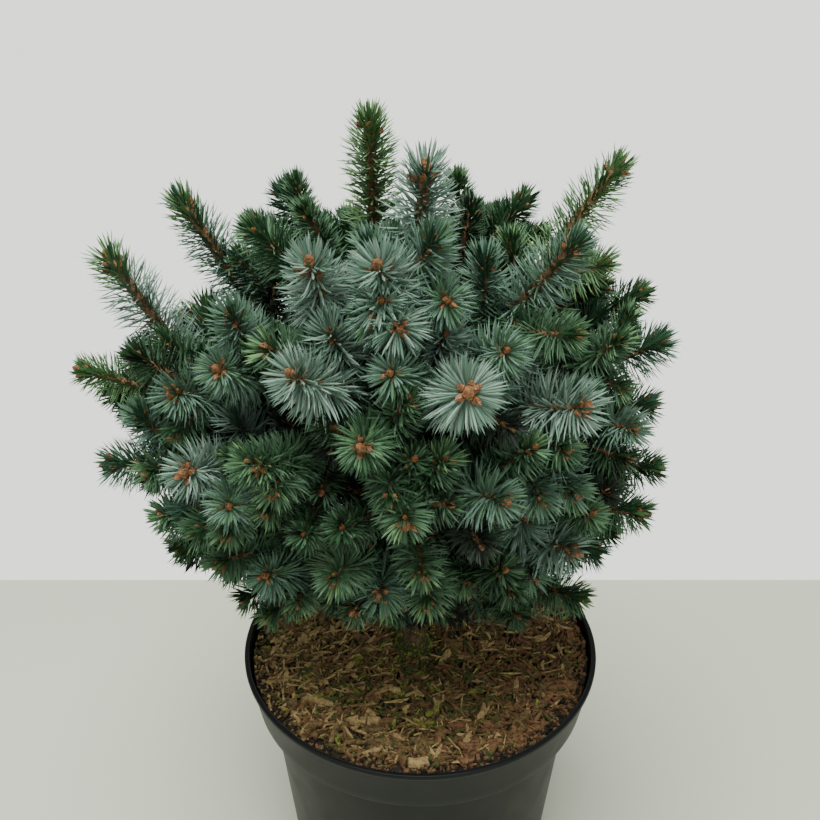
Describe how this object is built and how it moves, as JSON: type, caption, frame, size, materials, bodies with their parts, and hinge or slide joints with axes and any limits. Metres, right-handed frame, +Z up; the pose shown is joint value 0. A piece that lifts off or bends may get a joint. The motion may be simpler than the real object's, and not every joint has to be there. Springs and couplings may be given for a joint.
{
  "type": "potted dwarf sitka spruce",
  "caption": "Dwarf blue-green spruce with a dense domed crown of bottle-brush shoots, in a round black nursery pot topped with bark mulch.",
  "frame": {"origin": "centre of the pot's flat underside", "axes": "+Z up along the pot's axis, -Y towards the side that faces the viewer, +X to the viewer's right"},
  "size_m": [0.2684, 0.2229, 0.437],
  "materials": {
    "pot_plastic": "moulded black plastic, satin",
    "bark_mulch": "chipped bark, dull",
    "bark": "scaly grey-brown bark with some green moss at the foot",
    "twig_bark": "thin orange-brown bark",
    "needles": "waxy needles, green above and silver blue below"
  },
  "bodies": {
    "root": {"pot": "pot_plastic", "mulch": "bark_mulch", "trunk": "bark", "foliage_right_foot": "needles", "foliage_back_foot_1": "needles", "foliage_back_foot_2": "needles", "foliage_back_foot_3": "needles", "foliage_left_front_low": "needles", "foliage_left_low": "needles", "bough_right_low": "twig_bark", "foliage_right_low": "needles", "foliage_front_right_low": "needles", "foliage_front_low": "needles", "foliage_right_front_low": "needles", "bough_back_low_1": "twig_bark", "foliage_back_low_1": "needles", "foliage_back_low_2": "needles", "foliage_back_low_3": "needles", "bough_back_low_4": "twig_bark", "foliage_back_low_4": "needles", "bough_right_middle": "twig_bark", "foliage_right_middle": "needles", "bough_left_middle": "twig_bark", "foliage_left_middle": "needles", "foliage_front_drop": "needles", "foliage_left_silver": "needles", "foliage_front_right_middle": "needles", "bough_right_far_low": "twig_bark", "foliage_right_far_low": "needles", "bough_back_middle_1": "twig_bark", "foliage_back_middle_1": "needles", "foliage_back_middle_2": "needles", "bough_back_middle_3": "twig_bark", "foliage_back_middle_3": "needles", "foliage_front_left_middle": "needles", "bough_left_far": "twig_bark", "foliage_left_far": "needles", "foliage_left_front": "needles", "foliage_front_middle": "needles", "foliage_right_front": "needles", "bough_right_far": "twig_bark", "foliage_right_far": "needles", "bough_right_back": "twig_bark", "foliage_right_back": "needles", "foliage_left_front_high": "needles", "foliage_front_dish": "needles", "foliage_front_left": "needles", "foliage_back_high_1": "needles", "foliage_back_high_2": "needles", "foliage_left_finger": "needles", "foliage_front_high_right": "needles", "foliage_front_high": "needles", "foliage_front_high_left": "needles", "foliage_back_top_1": "needles", "foliage_back_top_2": "needles", "foliage_left_spire": "needles", "foliage_right_spire": "needles", "foliage_crest": "needles", "foliage_leader": "needles"}
  },
  "joints": []
}
